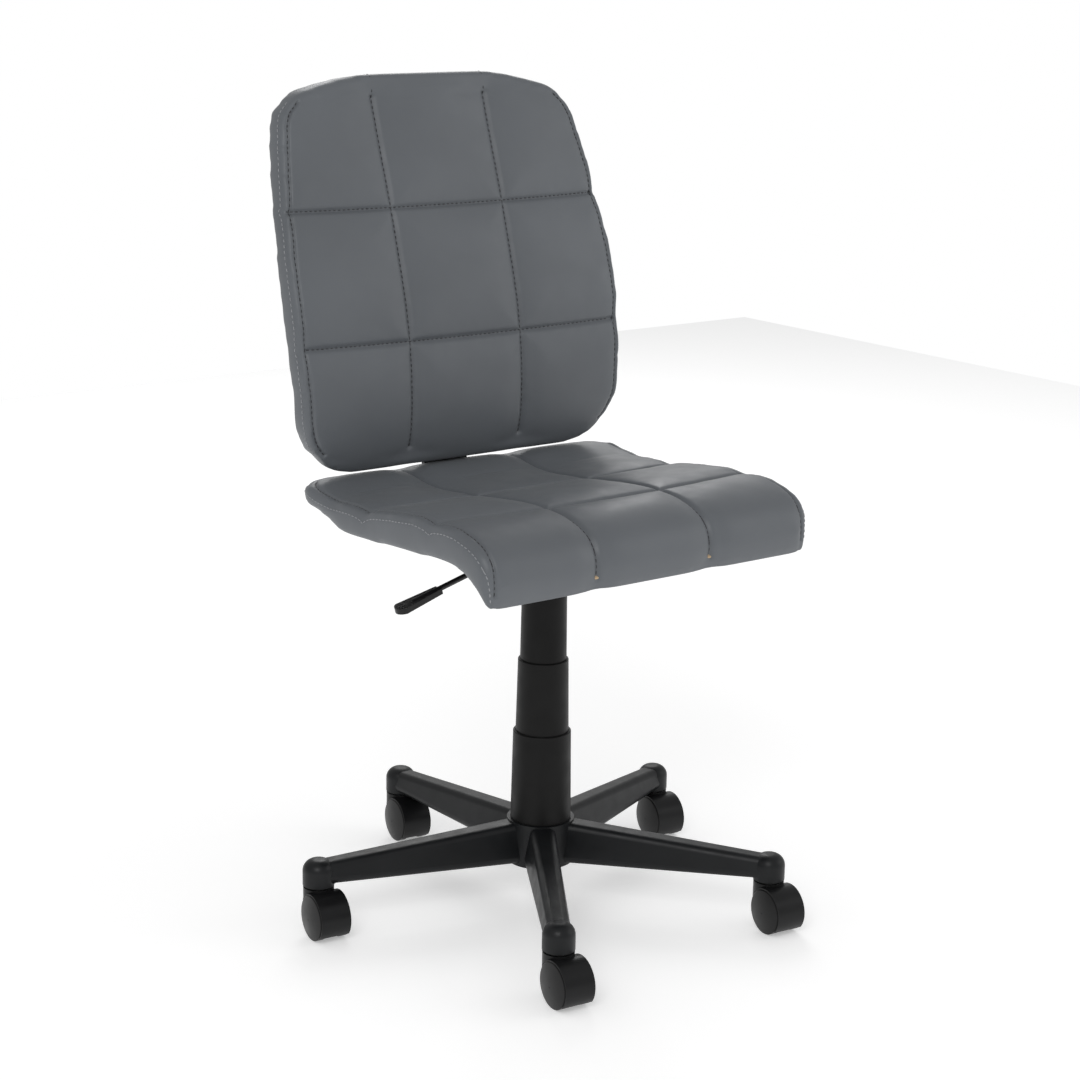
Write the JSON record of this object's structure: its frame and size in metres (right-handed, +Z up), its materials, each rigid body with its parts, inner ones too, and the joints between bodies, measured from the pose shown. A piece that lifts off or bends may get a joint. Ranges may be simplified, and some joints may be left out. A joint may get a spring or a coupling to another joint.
{
  "type": "swivel task chair",
  "caption": "Armless mid-back task chair with quilted seat and back, gas-lift column and a five-arm base on twin-wheel casters.",
  "frame": {"origin": "on the floor, on the column's axis", "axes": "+Z up along the column, -Y towards the seat's front, +X towards the sitter's left"},
  "size_m": [0.5421, 0.546, 0.914],
  "materials": {
    "grey_vinyl": "soft grained vinyl, low sheen",
    "foam": "open-cell foam",
    "plywood": "bare plywood",
    "dust_cloth": "black non-woven cloth",
    "base_nylon": "fine-textured moulded nylon",
    "cover_plastic": "matt moulded plastic",
    "caster_nylon": "satin moulded nylon",
    "wheel_nylon": "satin moulded nylon",
    "handle_plastic": "semi-gloss moulded plastic",
    "black_steel": "black powder coat",
    "black_fastener": "black oxide",
    "zinc_steel": "zinc plated",
    "spring_steel": "hardened steel",
    "chrome_rod": "hard chrome",
    "acetal": "natural acetal",
    "bumper_rubber": "moulded rubber"
  },
  "bodies": {
    "base": {"base_star": "base_nylon", "caster_stems": "zinc_steel", "stem_grip_rings": "spring_steel", "column_tube": "black_steel", "guide_bushing": "acetal", "thrust_washer_lower": "spring_steel", "cover_lower": "cover_plastic"},
    "swivel": {"piston_rod": "chrome_rod", "gas_piston": "acetal", "thrust_ball_ring": "spring_steel", "thrust_washer_upper": "spring_steel", "bump_stop": "bumper_rubber", "rod_clip": "spring_steel"},
    "seat": {"gas_cylinder": "black_steel", "cover_upper": "cover_plastic", "taper_socket": "black_steel", "plate_channel": "black_steel", "seat_plate": "black_steel", "lever_pivot_pin": "zinc_steel", "seat_board": "plywood", "seat_foam": "foam", "seat_cover": "grey_vinyl", "seat_dust_cover": "dust_cloth", "seat_tee_nuts": "zinc_steel", "plate_bolts": "zinc_steel", "plate_washers": "zinc_steel", "bar_bolts": "zinc_steel", "bar_washers": "zinc_steel", "back_bar": "black_steel", "back_board": "plywood", "back_foam": "foam", "back_cover": "grey_vinyl", "back_bolts": "black_fastener", "back_washers": "black_fastener", "back_tee_nuts": "zinc_steel"},
    "middle_cover": {"cover_middle": "cover_plastic"},
    "lever": {"lever_rod": "black_steel", "lever_handle": "handle_plastic"},
    "release_pin": {"release_pin": "zinc_steel"},
    "caster_1": {"caster_1_hood": "caster_nylon", "caster_1_axle": "zinc_steel"},
    "caster_1_wheel_left": {"caster_1_wheel_left": "wheel_nylon"},
    "caster_1_wheel_right": {"caster_1_wheel_right": "wheel_nylon"},
    "caster_2": {"caster_2_hood": "caster_nylon", "caster_2_axle": "zinc_steel"},
    "caster_2_wheel_left": {"caster_2_wheel_left": "wheel_nylon"},
    "caster_2_wheel_right": {"caster_2_wheel_right": "wheel_nylon"},
    "caster_3": {"caster_3_hood": "caster_nylon", "caster_3_axle": "zinc_steel"},
    "caster_3_wheel_left": {"caster_3_wheel_left": "wheel_nylon"},
    "caster_3_wheel_right": {"caster_3_wheel_right": "wheel_nylon"},
    "caster_4": {"caster_4_hood": "caster_nylon", "caster_4_axle": "zinc_steel"},
    "caster_4_wheel_left": {"caster_4_wheel_left": "wheel_nylon"},
    "caster_4_wheel_right": {"caster_4_wheel_right": "wheel_nylon"},
    "caster_5": {"caster_5_hood": "caster_nylon", "caster_5_axle": "zinc_steel"},
    "caster_5_wheel_left": {"caster_5_wheel_left": "wheel_nylon"},
    "caster_5_wheel_right": {"caster_5_wheel_right": "wheel_nylon"}
  },
  "joints": [
    {"name": "swivel", "type": "hinge", "parent": "base", "child": "swivel", "pos_m": [0, 0, 0.06], "axis": [0, 0, 1], "continuous": true},
    {"name": "height", "type": "slide", "parent": "swivel", "child": "seat", "axis": [0, 0, 1], "range_m": [-0.1, 0]},
    {"name": "middle_cover_slide", "type": "slide", "parent": "base", "child": "middle_cover", "axis": [0, 0, 1], "range_m": [-0.051, 0]},
    {"name": "lever_lift", "type": "hinge", "parent": "seat", "child": "lever", "pos_m": [-0.032, 0, 0.4193], "axis": [0, 1, 0], "range_deg": [0, 6], "stiffness_Nm_per_rad": 4, "springref_deg": -3.44},
    {"name": "release_pin_press", "type": "slide", "parent": "seat", "child": "release_pin", "axis": [0, 0, 1], "range_m": [-0.0045, 0]},
    {"name": "caster_1_swivel", "type": "hinge", "parent": "base", "child": "caster_1", "pos_m": [0.16524, -0.20332, 0.045], "axis": [0, 0, 1], "continuous": true},
    {"name": "caster_1_left_roll", "type": "hinge", "parent": "caster_1", "child": "caster_1_wheel_left", "pos_m": [0.16316, -0.22181, 0.025], "axis": [0.9938, -0.1115, 0], "continuous": true},
    {"name": "caster_1_right_roll", "type": "hinge", "parent": "caster_1", "child": "caster_1_wheel_right", "pos_m": [0.16316, -0.22181, 0.025], "axis": [0.9938, -0.1115, 0], "continuous": true},
    {"name": "caster_2_swivel", "type": "hinge", "parent": "base", "child": "caster_2", "pos_m": [0.24443, 0.09432, 0.045], "axis": [0, 0, 1], "continuous": true},
    {"name": "caster_2_left_roll", "type": "hinge", "parent": "caster_2", "child": "caster_2_wheel_left", "pos_m": [0.24236, 0.07583, 0.025], "axis": [0.9938, -0.1115, 0], "continuous": true},
    {"name": "caster_2_right_roll", "type": "hinge", "parent": "caster_2", "child": "caster_2_wheel_right", "pos_m": [0.24236, 0.07583, 0.025], "axis": [0.9938, -0.1115, 0], "continuous": true},
    {"name": "caster_3_swivel", "type": "hinge", "parent": "base", "child": "caster_3", "pos_m": [-0.01417, 0.26162, 0.045], "axis": [0, 0, 1], "continuous": true},
    {"name": "caster_3_left_roll", "type": "hinge", "parent": "caster_3", "child": "caster_3_wheel_left", "pos_m": [-0.01624, 0.24313, 0.025], "axis": [0.9938, -0.1115, 0], "continuous": true},
    {"name": "caster_3_right_roll", "type": "hinge", "parent": "caster_3", "child": "caster_3_wheel_right", "pos_m": [-0.01624, 0.24313, 0.025], "axis": [0.9938, -0.1115, 0], "continuous": true},
    {"name": "caster_4_swivel", "type": "hinge", "parent": "base", "child": "caster_4", "pos_m": [-0.25319, 0.06737, 0.045], "axis": [0, 0, 1], "continuous": true},
    {"name": "caster_4_left_roll", "type": "hinge", "parent": "caster_4", "child": "caster_4_wheel_left", "pos_m": [-0.25526, 0.04888, 0.025], "axis": [0.9938, -0.1115, 0], "continuous": true},
    {"name": "caster_4_right_roll", "type": "hinge", "parent": "caster_4", "child": "caster_4_wheel_right", "pos_m": [-0.25526, 0.04888, 0.025], "axis": [0.9938, -0.1115, 0], "continuous": true},
    {"name": "caster_5_swivel", "type": "hinge", "parent": "base", "child": "caster_5", "pos_m": [-0.14231, -0.21998, 0.045], "axis": [0, 0, 1], "continuous": true},
    {"name": "caster_5_left_roll", "type": "hinge", "parent": "caster_5", "child": "caster_5_wheel_left", "pos_m": [-0.14439, -0.23846, 0.025], "axis": [0.9938, -0.1115, 0], "continuous": true},
    {"name": "caster_5_right_roll", "type": "hinge", "parent": "caster_5", "child": "caster_5_wheel_right", "pos_m": [-0.14439, -0.23846, 0.025], "axis": [0.9938, -0.1115, 0], "continuous": true}
  ],
  "couplings": [
    {"joint": "middle_cover_slide", "follows": "height", "ratio": 0.5},
    {"joint": "release_pin_press", "follows": "lever_lift", "m_per_rad": -0.036}
  ]
}
